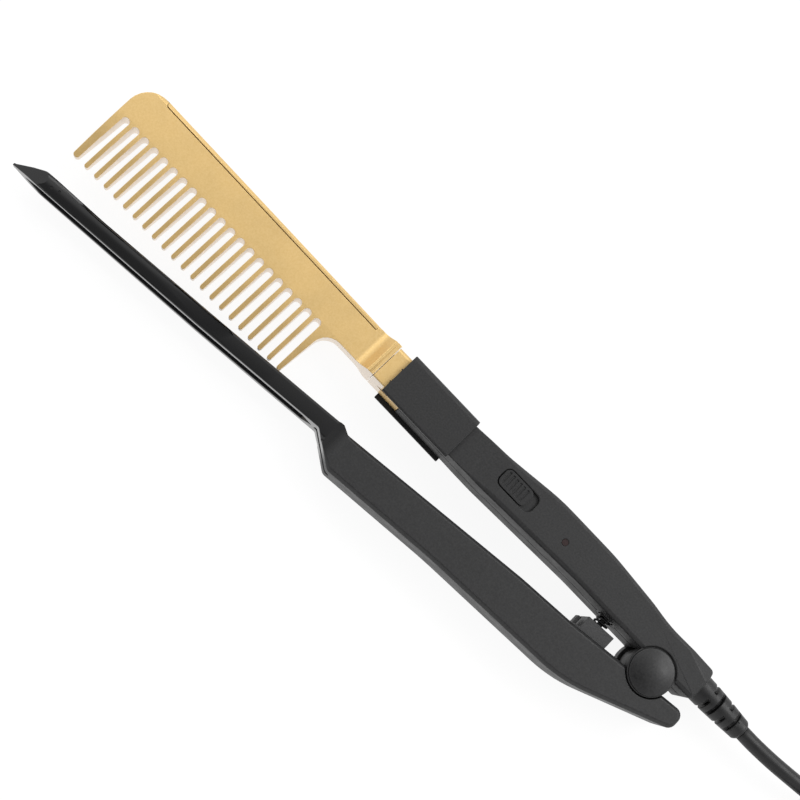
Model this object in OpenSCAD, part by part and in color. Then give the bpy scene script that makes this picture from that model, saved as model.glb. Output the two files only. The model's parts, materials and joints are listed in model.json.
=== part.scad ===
// Electric hot comb: a heated comb on a handle, with a sprung clamp arm that presses the hair
// onto the comb. It lies on its side: +Z is up, +X runs from the cord to the comb's far end.
// All sizes are millimetres.

/* [Comb] */
// Distance from one thin tooth to the next
tooth_pitch = 4.97; // [4.0:0.01:6.0]
// Thickness of a thin tooth along the row
tooth_width = 1.8; // [1.2:0.1:2.4]
// Number of thin teeth between the two end teeth
thin_teeth = 20; // [12:1:20]
// Thickness of the comb plate between its faces
plate_depth = 7.0; // [6.0:0.1:8.0]
// Thickness of the teeth at their tips
tip_depth = 2.8; // [2.0:0.1:4.0]

/* [Handle] */
// Thickness of the handle and of the collar
handle_depth = 21; // [20:0.5:24]
// Thickness of the nose that the collar holds
nose_depth = 17.5; // [16:0.5:17.5]
// Wall thickness of the moulded shells
wall = 2.2; // [1.8:0.1:2.6]
// Chamfer on the outer edges of the shells
edge_chamfer = 1.2; // [0.4:0.1:1.6]

/* [Clamp arm] */
// Thickness of the arm's grip part
arm_depth = 18.4; // [16:0.2:18.4]
// Thickness of the slotted bar
bar_depth = 16; // [14:0.5:16]
// Width of the slot that the teeth enter
slot_width = 8.6; // [8.2:0.1:9.0]
// Angle that the arm closes through
close_angle = 7; // [5:0.5:7]

/* [Hinge] */
// Diameter of the hinge pin
pin_diameter = 5; // [4:0.5:6]
// Diameter of the cap over the hinge
cap_diameter = 17.2; // [16:0.2:17.8]

/* [Switch] */
// Travel of the slide switch
switch_travel = 2.9; // [2.0:0.1:2.9]
// Length of the slide button along the handle
button_length = 13.3; // [12.0:0.1:13.3]

/* [Cord] */
// Diameter of the mains cord
cord_diameter = 6; // [5:0.1:6]
// Straight length of a run of the folded cord
run_length = 82; // [60:1:90]

/* [Hidden] */

$fn = 48;
fit = 0.05;              // clearance of pieces that slide into each other
gap = 0.3;               // clearance of moving pieces
seam = 0.28;             // open seam between two pieces that don't move
big = 400;               // longer than the object
arc_step = 15;           // degrees per side of a small rounded corner
wide_step = 3;           // and of one wider than this radius
wide_radius = 20;

half_handle = handle_depth / 2;
half_nose = nose_depth / 2;
half_arm = arm_depth / 2;
half_bar = bar_depth / 2;
half_slot = slot_width / 2;
half_plate = plate_depth / 2;

// The object's ends, measured from the hinge axis
tail_x = -19.7;
tip_x = 287.6;
tip_y = 38.9;
belly_y = -19.9;
// Moves the hinge frame onto the table: the box's middle over the origin, its base at z = 0
to_table = [-(tail_x + tip_x) / 2, -(tip_y + belly_y) / 2, half_handle];

// Colours
black = [0.12, 0.12, 0.13];
dark = [0.2, 0.2, 0.21];
gold = [0.83, 0.68, 0.42];
steel = [0.75, 0.76, 0.78];
white = [0.92, 0.91, 0.88];
green = [0.1, 0.35, 0.2];
copper = [0.72, 0.45, 0.2];

// ---------------------------------------------------------------- outlines

function unit(v) = v / norm(v);
function flat(lists) = [for (l = lists) for (p = l) p];

// The arc that rounds the corner b between a and c with radius r; the corner itself if r is 0
function corner_arc(a, b, c, r) =
    r == 0 ? [b] :
    let (
        u = unit(a - b),
        v = unit(c - b),
        half = acos(u * v) / 2,
        centre = b + unit(u + v) * r / sin(half),
        from = b + u * r / tan(half) - centre,
        to = b + v * r / tan(half) - centre,
        start = atan2(from.y, from.x),
        swing = atan2(to.y, to.x) - start,
        turn = swing > 180 ? swing - 360 : swing < -180 ? swing + 360 : swing,
        n = max(1, ceil(abs(turn) / (r > wide_radius ? wide_step : arc_step)))
    )
    [for (i = [0:n]) centre + r * [cos(start + turn * i / n), sin(start + turn * i / n)]];

// A closed outline from corners [x, y, radius]
function rounded(corners) =
    let (n = len(corners))
    flat([for (i = [0:n - 1])
        let (
            a = corners[(i + n - 1) % n],
            b = corners[i],
            c = corners[(i + 1) % n]
        )
        corner_arc([a.x, a.y], [b.x, b.y], [c.x, c.y], b[2])]);

// The outline of a box between x[0] and x[1], y[0] and y[1] with rounded corners
function rounded_box(x, y, r) =
    rounded([[x[0], y[0], r], [x[1], y[0], r], [x[1], y[1], r], [x[0], y[1], r]]);

// An anticlockwise outline moved inward by d
function inset(outline, d) =
    let (n = len(outline))
    [for (i = [0:n - 1])
        let (
            e = unit(outline[i] - outline[(i + n - 1) % n]),
            f = unit(outline[(i + 1) % n] - outline[i]),
            m = [-e.y, e.x],
            k = [-f.y, f.x]
        )
        outline[i] + (m + k) * d / (1 + m * k)];

// A prism of an anticlockwise outline, symmetric about z = 0, with both edges chamfered: a wedge
// is cut off along each side, a little past its ends
module chamfered(outline, half, chamfer) {
    n = len(outline);
    past = 0.1;
    difference() {
        slab(outline, half);
        both_faces() for (i = [0:n - 1])
            let (
                a = outline[i],
                side = outline[(i + 1) % n] - a
            )
            translate([a.x, a.y, half]) rotate([0, 0, atan2(side.y, side.x)])
                rotate([90, 0, 90]) translate([0, 0, -past]) linear_extrude(norm(side) + 2 * past)
                    polygon([[-1, -chamfer - 1], [chamfer + 1, 1], [-1, 1]]);
    }
}

// A flat shape in the XY plane made thick on both sides of z = 0
module slab(outline, half) {
    translate([0, 0, -half]) linear_extrude(2 * half) polygon(outline);
}

// A profile in the XZ plane run along Y over the whole object
module along_y(profile) {
    translate([0, big / 2, 0]) rotate([90, 0, 0]) linear_extrude(big) polygon(profile);
}

// A profile in the YZ plane run along X from x0 to x1
module along_x(profile, x0, x1) {
    translate([x0, 0, 0]) rotate([90, 0, 90]) linear_extrude(x1 - x0) polygon(profile);
}

// A cylinder along X, Y or Z
module rod_x(x0, x1, y, z, r) {
    translate([x0, y, z]) rotate([0, 90, 0]) cylinder(h = x1 - x0, r = r);
}
module rod_y(x, y0, y1, z, r) {
    translate([x, y1, z]) rotate([90, 0, 0]) cylinder(h = y1 - y0, r = r);
}
module rod_z(x, y, z0, z1, r) {
    translate([x, y, z0]) cylinder(h = z1 - z0, r = r);
}
module block(x0, x1, y0, y1, z0, z1) {
    translate([x0, y0, z0]) cube([x1 - x0, y1 - y0, z1 - z0]);
}

// The children on the front face and mirrored on the back face
module both_faces() {
    children();
    mirror([0, 0, 1]) children();
}

// The part of the children above or below the middle plane
module front_half() {
    intersection() {
        children();
        block(-big, big, -big, big, 0, big);
    }
}
module back_half() {
    intersection() {
        children();
        block(-big, big, -big, big, -big, 0);
    }
}

// ------------------------------------------------------------------- tubes

// A round tube through points, its rings square to the way; end_dir fixes the end rings
module tube(route, r, sides, end_dir) {
    n = len(route);
    up = [0, 0, 1];
    function along(i) =
        i == 0 ? end_dir[0] : i == n - 1 ? end_dir[1] : unit(route[i + 1] - route[i - 1]);
    points = [for (i = [0:n - 1])
        let (
            t = unit(along(i)),
            s = abs(t.z) > 0.9 ? [1, 0, 0] : unit(cross(t, up)),
            v = cross(s, t)
        )
        for (k = [0:sides - 1])
            let (a = 360 * (k + 0.5) / sides)
            route[i] + r * (cos(a) * s + sin(a) * v)];
    walls = [for (i = [0:n - 2]) for (k = [0:sides - 1])
        let (
            a = i * sides + k,
            b = i * sides + (k + 1) % sides,
            c = b + sides,
            d = a + sides
        )
        for (f = [[a, b, c], [a, c, d]]) f];
    polyhedron(points, concat([[for (k = [sides - 1:-1:0]) k]], walls,
                              [[for (k = [0:sides - 1]) (n - 1) * sides + k]]), convexity = 10);
}

// ------------------------------------------------------------------ handle

relief_y = -10.9;        // height of the cord's axis across the handle
nose_end = 130.4;
ramp_start = 86;         // the shells thin down to the nose between these two
ramp_end = 105;
deep_end = 91.5;         // the room inside is shallower past here

handle_outline = rounded([
    [-17.5, -17.4, 1.5],
    [6, -16.8, 60],
    [16, -18.2, 60],
    [38, belly_y, 90],
    [66, belly_y, 90],
    [90, -16.9, 60],
    [107, -16.0, 0],
    [nose_end, -16.0, 0],
    [nose_end, -1.2, 0],
    [90, -1.2, 60],
    [42, -3.1, 60],
    [-17.5, -3.4, 1.5]
]);

// Hinge sizes
ear_radius = 9.1;
ear_inside = 5.3;        // the arm's knuckle turns between the ears
ear_face = 9.6;          // the caps lie on the ears
knuckle_radius = 8.0;
knuckle_half = ear_inside - gap;
hub_radius = 4.8;
stop_post = [0, -6.6];   // limits the arm's swing both ways
stop_radius = 1.4;
stop_slack = 13;         // degrees from the post's middle to the notch's side, just clear of it

// Return spring, its axis along Y
spring_x = 23;
cup_radius = 4.6;
cup_top = -3.3;
cup_floor = -7.9;
// The seat's lower face slopes between these two places
seat_low = [[17, 0.6], [29, 1.5]];

// Slide switch
window_x = [71.4, 88.1];
window_y = [-14.2, -6.7];
window_radius = 2.4;
pocket_floor = 9.1;
stem_x = 81;
stem_half = 1.5;
switch_y = (window_y[0] + window_y[1]) / 2;
board_top = 0.6;
lens = [54.8, -9.7];
lens_radius = 1.2;

// Screws that hold the shells together
// their places [x, y], half lengths of their bosses and seats of their heads
screw_places = [[14.2, -7.4], [34, -7.0], [100, -8.6]];
boss_halves = [9.5, 9.5, 7.7];
head_seats = [-8.5, -8.5, -7.1];
boss_radius = 2.7;
screw_radius = 1.3;
head_radius = 2.3;
head_height = 1.6;

// The slanted flat at the cord end of the front face
module end_facet() {
    translate([-17.5, -11.6, half_handle]) rotate([0, 0, -18.2]) rotate([32, 0, 0])
        block(-10, 30, -20, 0, 0, 10);
}

// Both shells in one piece, before they are hollowed
module handle_blank() {
    difference() {
        union() {
            difference() {
                chamfered(handle_outline, half_handle, edge_chamfer);
                both_faces() along_y([[ramp_start, half_handle], [ramp_end, half_nose],
                                      [nose_end + 2, half_nose], [nose_end + 2, 20],
                                      [ramp_start, 20]]);
            }
            both_faces() rod_z(0, 0, ear_inside, ear_face, ear_radius);
        }
        rod_z(0, 0, -ear_inside, ear_inside, knuckle_radius + 0.7);
        both_faces() rod_z(0, 0, ear_face, big, ear_radius + 0.1);
        both_faces() end_facet();
    }
}

// The room inside the shells
module handle_cavity() {
    deep = half_handle - wall;
    shallow = half_nose - wall;
    intersection() {
        union() {
            block(-15.3, deep_end, -big, big, -deep, deep);
            block(deep_end, nose_end - wall, -big, big, -shallow, shallow);
        }
        difference() {
            slab(inset(handle_outline, wall), deep);
            rod_z(0, 0, -big, big, knuckle_radius + 2.9);
        }
    }
}

// Bosses that the screws pass through
module screw_bosses() {
    for (i = [0:2])
        rod_z(screw_places[i].x, screw_places[i].y, -boss_halves[i], boss_halves[i], boss_radius);
}

// Everything that both shells leave open
module handle_openings() {
    rod_x(-20, -15, relief_y, 0, 4.4 + fit);
    rod_x(nose_end - wall - 1, nose_end + 1, -8.6, 0, 3.4);
    rod_y(spring_x, -9, 0, 0, cup_radius + fit);
    rod_z(0, 0, -big, big, pin_diameter / 2 + fit / 2);
}

module handle_body() {
    difference() {
        union() {
            difference() {
                handle_blank();
                handle_cavity();
            }
            intersection() {
                union() {
                    screw_bosses();
                    // thicker corners under the slanted flats
                    both_faces() block(-17, -9, -17, -11, 6.4, 12);
                }
                handle_blank();
            }
        }
        handle_openings();
    }
}

module handle_front_shell() {
    color(black) difference() {
        front_half() handle_body();
        // pocket of the slide button, with the slot for its stem
        translate([0, 0, pocket_floor]) linear_extrude(5)
            polygon(rounded_box(window_x, window_y, window_radius));
        block(stem_x - stem_half - switch_travel - gap, stem_x + stem_half + gap,
              switch_y - 1.5, switch_y + 1.5, 5, 12);
        rod_z(lens.x, lens.y, 5, 12, lens_radius);
        for (p = screw_places) rod_z(p.x, p.y, -1, 6.2, screw_radius + fit);
    }
}

module handle_back_shell() {
    board_posts = [[42, -13], [90, -10]];
    color(black) {
        difference() {
            union() {
                back_half() handle_body();
                // posts that carry the circuit board
                for (p = board_posts) rod_z(p.x, p.y, wall - half_handle - 0.5, board_top - 1.6, 1.6);
            }
            for (i = [0:2]) {
                rod_z(screw_places[i].x, screw_places[i].y, -12, 1, screw_radius + 0.2);
                rod_z(screw_places[i].x, screw_places[i].y, -12, head_seats[i], head_radius + 0.2);
            }
        }
        // stop post between the ears
        rod_z(stop_post.x, stop_post.y, -ear_inside, ear_inside - fit, stop_radius);
    }
}

module handle_screws() {
    color(steel) for (i = [0:2]) translate([screw_places[i].x, screw_places[i].y, head_seats[i]]) {
        rod_z(0, 0, 0, 6 - head_seats[i], screw_radius);
        difference() {
            rod_z(0, 0, -head_height, 0, head_radius);
            for (a = [0, 90]) translate([0, 0, -head_height]) rotate([0, 0, a])
                cube([2.6, 0.6, 1.4], center = true);
        }
    }
}

// U-shaped metal-lined sleeve round the nose and the shank, open towards the arm
collar_x = [106.6, 139.6];
collar_top = 0.3;
collar_web = -17.9;
lug_y = [-10.3, -4.3];

module collar() {
    skin = half_nose + fit;
    lug = 0.5;
    color(dark) {
        difference() {
            along_x(rounded([[collar_web, -half_handle, 2.2], [collar_top, -half_handle, 0.8],
                             [collar_top, half_handle, 0.8], [collar_web, half_handle, 2.2]]),
                    collar_x[0], collar_x[1]);
            block(0, big, -16 - fit, 10, -skin, skin);
        }
        // small lugs on the end that faces the comb
        for (y = lug_y) both_faces() translate([collar_x[1], y, skin])
            linear_extrude(half_handle - 0.4 - skin) polygon([[-lug, -lug], [lug, 0], [-lug, lug]]);
    }
}

// ------------------------------------------------------------------- shank

shank_x = [130.6, 145.5];
shank_top = -1.5;
shank_bottom = -16.0;
half_shank = 8;
tang_y = [-13.2, -4.0];
half_tang = 5;
lead_y = -8.6;           // axis of the bore that the heater's leads pass through

module shank_sleeve() {
    color(gold) difference() {
        along_x(rounded([[shank_bottom, -half_shank, 1.6], [shank_top, -half_shank, 0.5],
                         [shank_top, half_shank, 0.5], [shank_bottom, half_shank, 1.6]]),
                shank_x[0], shank_x[1]);
        block(shank_x[0] - 1, shank_x[1] + 1, tang_y[0] - fit, tang_y[1] + fit,
              -half_tang - fit, half_tang + fit);
        // pointed key slot in the side that faces the arm
        translate([0, shank_top + 1, 0]) rotate([90, 0, 0]) linear_extrude(2.2)
            polygon([[136.5, -0.8], [140.2, -0.8], [142.2, 0], [140.2, 0.8], [136.5, 0.8]]);
    }
}

// -------------------------------------------------------------------- comb

first_gap_x = 173.3;
root_y = -2.3;
teeth_tip_y = 20.9;
gap_radius = (tooth_pitch - tooth_width) / 2;
last_gap_x = first_gap_x + thin_teeth * tooth_pitch;
spine_cap_x = [156.7, 267.5];
heater_x = [150.2, 262];
heater_y = [-14.8, -5.8];

comb_outline = rounded([
    [145.7, -16.5, 0],
    [157, -16.6, 0],
    [278.1, -17.75, 9.5],
    [276.9, teeth_tip_y, 1.2],
    [274.3, teeth_tip_y, 1.2],
    [last_gap_x + gap_radius, root_y + gap_radius, 0],
    [first_gap_x - gap_radius, root_y + gap_radius, 0],
    [first_gap_x - gap_radius, teeth_tip_y, 0.9],
    [169.9, teeth_tip_y, 0.9],
    [168.4, -1.6, 6.6],
    [145.7, -1.6, 0]
]);

// The plate is even as far as the gaps' roots, and its teeth thin towards their tips in a soft
// bend; its edge along the spine is eased
plate_edge = [[-20, 1.4], [-17.6, 0.8], [-16.2, 0]];
tooth_bend = [[root_y, 0], [1, 0.09], [5, 0.3], [9, 0.61], [teeth_tip_y, half_plate - tip_depth / 2]];
tooth_end = [30, half_plate - 0.25];
plate_side = [for (p = concat(plate_edge, tooth_bend, [tooth_end])) [p[0], half_plate - p[1]]];
plate_profile = concat([for (p = plate_side) [p[0], -p[1]]],
                       [for (i = [len(plate_side) - 1:-1:0]) plate_side[i]]);

// Past a low step, the neck falls from the shank's thickness to the plate's in one swept curve
neck_step = 0.2;
neck_side = rounded([[145.7, 0, 0], [145.7, half_shank, 0], [147.1, half_shank, 0],
                     [147.3, half_shank - neck_step, 0], [148.5, half_shank - neck_step, 0.4],
                     [152.3, half_plate, 5], [155, half_plate, 0], [155, 0, 0]]);
neck_profile = concat([for (i = [len(neck_side) - 1:-1:1]) neck_side[i]],
                      [for (i = [1:len(neck_side) - 1]) [neck_side[i].x, -neck_side[i].y]]);

// The whole comb with its teeth, without the cap's groove and the heater's room
module comb_blank() {
    module flat_comb() {
        difference() {
            polygon(comb_outline);
            for (i = [0:thin_teeth])
                translate([first_gap_x + i * tooth_pitch, root_y + gap_radius])
                    circle(r = gap_radius, $fn = 24);
        }
        for (i = [0:thin_teeth - 1])
            polygon(rounded([
                [first_gap_x + i * tooth_pitch + gap_radius, root_y, 0],
                [first_gap_x + (i + 1) * tooth_pitch - gap_radius, root_y, 0],
                [first_gap_x + (i + 1) * tooth_pitch - gap_radius, teeth_tip_y, 0.85],
                [first_gap_x + i * tooth_pitch + gap_radius, teeth_tip_y, 0.85]
            ]));
    }
    intersection() {
        translate([0, 0, -half_shank]) linear_extrude(2 * half_shank) flat_comb();
        union() {
            along_y(neck_profile);
            along_x(plate_profile, 150, 290);
        }
    }
}

// The strip along the spine that closes the heater's room, larger by ends and by side
module spine_strip(ends, side) {
    slab(rounded([[spine_cap_x[0] - ends, -30, 0], [spine_cap_x[1] + ends, -30, 0],
                  [spine_cap_x[1] + ends, -15.95 + side, 1.2],
                  [spine_cap_x[0] - ends, -14.95 + side, 0]]), 10);
}

module comb_head() {
    color(gold) difference() {
        union() {
            comb_blank();
            block(131.5, 146, tang_y[0], tang_y[1], -half_tang, half_tang);
        }
        spine_strip(fit, seam);
        block(heater_x[0], heater_x[1], -16.2, heater_y[1], -1.5, 1.5);
        rod_x(130, heater_x[0] + 1, lead_y, 0, 2.7);
    }
}

module spine_cap() {
    color(gold) intersection() {
        comb_blank();
        spine_strip(0, 0);
    }
}

module heater_plate() {
    color(white) block(heater_x[0] + 0.3, heater_x[1] - 0.5, heater_y[0], heater_y[1] - 0.2, -1, 1);
}

module heater_insulation() {
    color(copper) both_faces()
        block(heater_x[0] + 0.3, heater_x[1] - 0.5, heater_y[0], heater_y[1] - 0.2, 1.02, 1.45);
}

// -------------------------------------------------------- inside the handle

module circuit_board() {
    color(green) block(38, 94, -14, -5.8, board_top - 1.6, board_top);
    // rectifier, resistor and capacitor
    color(dark) {
        block(41, 48, -10.5, -7, board_top, board_top + 3.2);
        rod_x(60, 66.5, -12.4, board_top + 1.2, 1.3);
        rod_z(64, -8.2, board_top, board_top + 6, 2.1);
    }
}

module switch_body() {
    color(dark) difference() {
        block(70, 91, -14, -6.9, board_top, 7.4);
        block(stem_x - stem_half - switch_travel - gap, stem_x + stem_half + gap,
              switch_y - 1.5, switch_y + 1.5, 5.6, 8);
    }
}

module switch_button() {
    x1 = window_x[1] - gap;
    x0 = x1 - button_length;
    y0 = window_y[0] + 0.2;
    y1 = window_y[1] - 0.2;
    color(black) {
        difference() {
            translate([0, 0, pocket_floor + fit]) linear_extrude(10.8 - pocket_floor)
                polygon(rounded_box([x0, x1], [y0, y1], window_radius - 0.2));
            // ribs across the button for the thumb
            for (i = [0:5])
                block(x0 + 2.2 + i * 1.8, x0 + 3.1 + i * 1.8, y0 + 1, y1 - 1, 10.45, 12);
        }
        block(stem_x - stem_half, stem_x + stem_half, switch_y - 1.2, switch_y + 1.2,
              5.9, pocket_floor + 0.5);
    }
}

module indicator_led() {
    color([0.8, 0.15, 0.1]) {
        rod_z(lens.x, lens.y, board_top, 6, 1.5);
        translate([lens.x, lens.y, 6]) sphere(r = 1.5, $fn = 24);
    }
}

module indicator_window() {
    color([0.35, 0.1, 0.1]) rod_z(lens.x, lens.y, half_handle - wall, half_handle - 0.1, lens_radius);
}

module thermal_fuse() {
    color(white) rod_x(109, 120, -5.8, 0, 1.9);
    color(copper) rod_x(104, 109, -5.8, 0, 0.45);
    color(copper) rod_x(120, 126, -5.8, 0, 0.45);
}

// Two insulated wires, one above the other
module wire_pair(route) {
    for (z = [-1.5, 1.5])
        tube([for (p = route) [p.x, p.y, z]], 0.9, 6,
             [unit(concat(route[1] - route[0], 0)),
              unit(concat(route[len(route) - 1] - route[len(route) - 2], 0))]);
}

module mains_leads() {
    color(dark) wire_pair([[-12.7, -10.9], [-11, -11.2], [-8, -12.8], [-4, -13.1], [10, -13.1],
                           [24, -12.8], [34, -12.2], [37.9, -12.2]]);
}

module heater_leads() {
    color(copper) wire_pair([[94.1, -12.2], [98, -12.9], [106, -12.6], [114, -11.2], [122, -9.6],
                             [128, -8.7], [134, lead_y], [149.8, lead_y]]);
}

// ------------------------------------------------------------------- hinge

module hinge_pin() {
    color(steel) rod_z(0, 0, -ear_face, ear_face, pin_diameter / 2);
}

// Domed cap that hides the front end of the pin
module pivot_cap_front() {
    r = cap_diameter / 2;
    rim = 1.0;
    rise = 1.3;
    rings = 8;
    dome = r - 0.3;
    color(black) translate([0, 0, ear_face])
        rotate_extrude($fn = 72) polygon(concat([[0, 0], [r, 0], [r, rim - 0.3]],
            [for (i = [0:rings]) let (a = 1 - i / rings) [dome * a, rim + rise * (1 - a * a)]]));
}

module pivot_cap_back() {
    color(black) rod_z(0, 0, -half_handle, -ear_face, cap_diameter / 2);
}

module spring_cup() {
    color(dark) difference() {
        rod_y(spring_x, cup_floor - 1, cup_top, 0, cup_radius);
        rod_y(spring_x, cup_floor, 0, 0, cup_radius - 1.1);
    }
}

// Compression spring: close coils at both ends and open ones between, swept in one tube
wire_radius = 0.4;
coil_radius = 2.6;
dead_turns = 1;
open_turns = 3.5;
dead_pitch = 1.4;
spring_base = cup_floor + wire_radius + 0.05;
spring_top = lookup(spring_x - coil_radius - wire_radius, seat_low)
             - wire_radius - 0.05;
open_pitch = (spring_top - spring_base - 2 * dead_turns * dead_pitch) / open_turns;
coil_rings = 8;

function spring_height(turns) =
    turns < dead_turns ? dead_pitch * turns :
    turns < dead_turns + open_turns ? dead_pitch * dead_turns + open_pitch * (turns - dead_turns) :
    dead_pitch * (turns - open_turns) + open_pitch * open_turns;
function spring_point(turns) =
    [coil_radius * cos(360 * turns), coil_radius * sin(360 * turns), spring_height(turns)];
spring_route = [for (i = [0:(2 * dead_turns + open_turns) * coil_rings])
    spring_point(i / coil_rings)];
echo(spring_coil_gap = min(dead_pitch, open_pitch) - 2 * wire_radius);

module return_spring() {
    color(steel) translate([spring_x, spring_base, 0]) rotate([-90, 0, 0])
        tube(spring_route, wire_radius, 6, [[0, 1, 0.2], [0, 1, 0.2]]);
}

// --------------------------------------------------------------------- arm

// Corners of the arm's inner edge, from the tail to the bar's tip
arm_inner = [[tail_x, 1.4], [13, 5.5], [32, 8.1], [56, 10.1], [136.2, 20.0], [139.6, 18.45],
             [200, 25.25], [250, 30.35], [276.5, 32.35]];
function inner_y(x) = lookup(x, arm_inner);

// The grip ends and the bar starts on the shoulder's slope
bar_start = 141;
bar_start_y = [inner_y(bar_start), 28.51];
grip_outline = rounded([
    [tail_x, 1.4, 3.2],
    [13, 5.5, 0],
    [32, 8.1, 60],
    [56, 10.1, 80],
    [136.2, 20.0, 0],
    [139.6, 18.45, 0],
    [bar_start, bar_start_y[0], 0],
    [bar_start, bar_start_y[1], 0],
    [132.4, 34.2, 3],
    [84, 29.3, 150],
    [21, 25.6, 60],
    [tail_x, 9.1, 3.6]
]);
bar_outline = rounded([
    [bar_start, bar_start_y[0], 0],
    [200, 25.25, 0],
    [250, 30.35, 0],
    [276.5, 32.35, 4],
    [tip_x, 38.2, 0],
    [tip_x, tip_y, 0],
    [275, 38.5, 30],
    [202, 31.7, 0],
    [145.4, 25.6, 1.5],
    [bar_start, bar_start_y[1], 0]
]);

cover_thickness = 1.8;
head_sink = 0.8;         // the screws' heads lie in the cover
cavity_x = [36, 128];
half_cavity = half_arm - wall;
cover_screw_x = [47, 117];
liner_thickness = 1.5;
liner_x = [149, 272];
liner_edge = half_bar - 2.4;   // the bar's lips hide the liner from the front and the back
slot_x = [148, 152.5, 275, 281.5];

// A band along the arm's inner edge from x0 to x1, between two heights above the edge
function inner_band(x0, x1, low, high) =
    let (
        xs = concat([x0], [for (p = arm_inner) if (p.x > x0 && p.x < x1) p.x], [x1]),
        n = len(xs)
    )
    concat([for (x = xs) [x, inner_y(x) + low]],
           [for (i = [n - 1:-1:0]) [xs[i], inner_y(xs[i]) + high]]);

// The grip, thinned on its shoulder to the bar's thickness
module grip_blank() {
    difference() {
        chamfered(grip_outline, half_arm, edge_chamfer);
        both_faces() along_y([[131, half_arm], [bar_start, half_bar], [bar_start + 1, half_bar],
                              [bar_start + 1, 20], [131, 20]]);
    }
}

// The bar, drawn to a point at its tip. Its faces are crowned: the round that crowns them starts
// above the shoulder's face and comes down to the bar's at a small slope
module bar_blank() {
    crown_radius = 9;
    crown_rise = 1.2;
    difference() {
        slab(bar_outline, half_bar);
        both_faces() {
            along_y([[270, half_bar], [281, 5.2], [tip_x + 1, 0.8], [tip_x + 1, 20], [270, 20]]);
            difference() {
                block(bar_start - 1, tip_x + 1, 10, 45, 2, 12);
                translate([bar_start, 21.9, half_bar - crown_radius + crown_rise])
                    rotate([0, 0, 5.75]) rotate([0, 90.93, 0])
                        translate([0, 0, -5]) cylinder(h = 160, r = crown_radius, $fn = 96);
            }
        }
    }
}

// Notch in the knuckle that swings over the stop post
module stop_notch() {
    low = -90 - stop_slack;
    high = -90 + stop_slack + close_angle;
    difference() {
        slab([[0, 0], [14 * cos(low), 14 * sin(low)], [14 * cos(-90), 14 * sin(-90)],
              [14 * cos(high), 14 * sin(high)]], knuckle_half + 1);
        rod_z(0, 0, -10, 10, hub_radius);
    }
}

// Rods square to the arm's inner edge at the two cover screws
module cover_bosses(r, low, high) {
    for (x = cover_screw_x)
        translate([x, inner_y(x), 0]) rotate([0, 0, atan2(inner_y(x + 1) - inner_y(x - 1), 2)])
            rod_y(0, low, high, 0, r);
}

module arm_lever() {
    color(black) difference() {
        union() {
            difference() {
                grip_blank();
                // hollow of the grip, open towards the handle
                intersection() {
                    slab(inset(grip_outline, wall), half_cavity);
                    block(cavity_x[0], cavity_x[1], -big, big, -big, big);
                }
                slab(inner_band(cavity_x[0], cavity_x[1], -5, wall + 0.5), half_cavity);
            }
            intersection() {
                cover_bosses(boss_radius, cover_thickness, 20);
                grip_blank();
            }
            rod_z(0, 0, -knuckle_half, knuckle_half, knuckle_radius);
            bar_blank();
        }
        // the ears turn beside the knuckle
        both_faces() rod_z(0, 0, knuckle_half, big, ear_radius + 0.4);
        stop_notch();
        rod_z(0, 0, -big, big, pin_diameter / 2 + fit);
        cover_bosses(screw_radius + fit, 0, 9);
        // slot through the bar, pointed at both ends
        along_y([[slot_x[0], 0], [slot_x[1], -half_slot], [slot_x[2], -half_slot],
                 [slot_x[3], 0], [slot_x[2], half_slot], [slot_x[1], half_slot]]);
        // two dimples near the tip
        for (p = [[270.9, 35.4, 0.6], [268, 34.4, 0.55]]) rod_z(p.x, p.y, 6.8, 9, p[2]);
        // groove down the outside of the shoulder
        translate([132.4, 34.2, 0]) rotate([0, 0, -33.2]) block(-3, 16.5, -1.2, 3, -1.6, 1.6);
        slab(inner_band(liner_x[0], liner_x[1], -5, liner_thickness), liner_edge);
    }
}

module arm_cover() {
    color(dark) difference() {
        slab(inner_band(cavity_x[0] + fit, cavity_x[1] - fit, 0, cover_thickness),
             half_cavity - fit);
        cover_bosses(screw_radius + 0.2, -3, 5);
        cover_bosses(head_radius + 0.2, -3, head_sink);
    }
}

module arm_screws() {
    color(steel) {
        cover_bosses(screw_radius, head_sink, 8.5);
        cover_bosses(head_radius, -0.4, head_sink);
    }
}

// Block under the arm that the spring presses on, with a guide pin and a locating tab
module spring_seat() {
    x0 = seat_low[0].x;
    x1 = seat_low[1].x;
    half = 5.5;
    color([0.32, 0.32, 0.33]) {
        slab([seat_low[0], seat_low[1], [x1, inner_y(x1)], [x0, inner_y(x0)]], half);
        slab(inner_band(x1, 31.4, -1, 0), half);
        slab(inner_band(30, 31.4, -4.7, 0), 2);
        rod_y(spring_x, -1.9, 2, 0, 1.2);
    }
}

// Heat-resistant strips on the bar's inner edges
module grip_liner() {
    color([0.3, 0.3, 0.3]) both_faces() intersection() {
        slab(inner_band(liner_x[0], liner_x[1], 0, liner_thickness), liner_edge);
        bar_blank();
        along_y([[140, 12], [140, 0.8], [slot_x[0] + 1, 0.8], [slot_x[1], half_slot],
                 [slot_x[2], half_slot], [slot_x[3] - 1, 0.8], [290, 0.8], [290, 12]]);
    }
}

// -------------------------------------------------------------------- cord

relief_end = -41.8;
relief_sleeve = 3.1;     // the slots leave this round the cord
cord_radius = cord_diameter / 2;

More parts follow.
